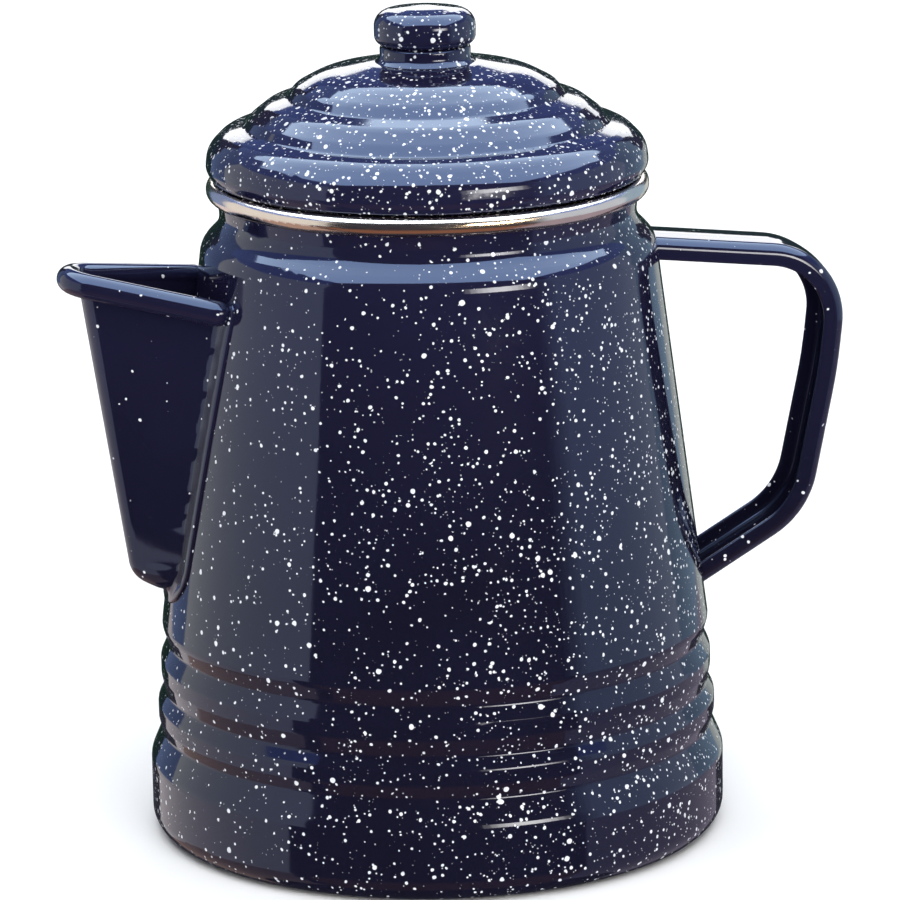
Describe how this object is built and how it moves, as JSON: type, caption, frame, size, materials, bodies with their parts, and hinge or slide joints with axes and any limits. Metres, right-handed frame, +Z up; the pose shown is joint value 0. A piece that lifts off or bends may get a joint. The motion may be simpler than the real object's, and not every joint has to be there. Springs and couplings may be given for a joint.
{
  "type": "coffee percolator",
  "caption": "Stove-top camping percolator: flared enamel pot with grooved foot, welded spout and strap handle, stepped lid with knob, and lift-out pump, basket and spreader.",
  "frame": {"origin": "on the pot's axis, at the plane that the pot stands on", "axes": "+Z up, +X from the pot's axis to the handle, -X to the spout; the pot is a mirror image of itself across Y = 0"},
  "size_m": [0.2247, 0.165, 0.2366],
  "materials": {
    "enamel": "glossy fired enamel, dark navy with white specks",
    "stainless_rim": "polished stainless steel",
    "aluminium": "satin spun aluminium",
    "fastener_steel": "plated steel"
  },
  "bodies": {
    "pot": {"pot_body": "enamel", "base_pan": "enamel", "rim_band": "stainless_rim", "spout": "enamel", "handle": "enamel"},
    "pump": {"pump_tube": "aluminium", "pump_base": "aluminium", "basket_stop": "aluminium"},
    "basket": {"basket_cup": "aluminium", "basket_sleeve": "aluminium"},
    "spreader": {"spreader_plate": "aluminium"},
    "lid": {"lid_dome": "enamel", "lid_collar": "enamel", "knob_neck": "enamel", "knob_cap": "enamel", "knob_washer": "fastener_steel", "knob_bolt": "fastener_steel", "knob_nut": "fastener_steel"}
  },
  "joints": [
    {"name": "pump_lift", "type": "slide", "parent": "pot", "child": "pump", "axis": [0, 0, 1], "range_m": [0, 0.2]},
    {"name": "basket_lift", "type": "slide", "parent": "pump", "child": "basket", "axis": [0, 0, 1], "range_m": [0, 0.12]},
    {"name": "spreader_lift", "type": "slide", "parent": "basket", "child": "spreader", "axis": [0, 0, 1], "range_m": [0, 0.06]},
    {"name": "lid_lift", "type": "slide", "parent": "spreader", "child": "lid", "axis": [0, 0, 1], "range_m": [0, 0.08]}
  ]
}
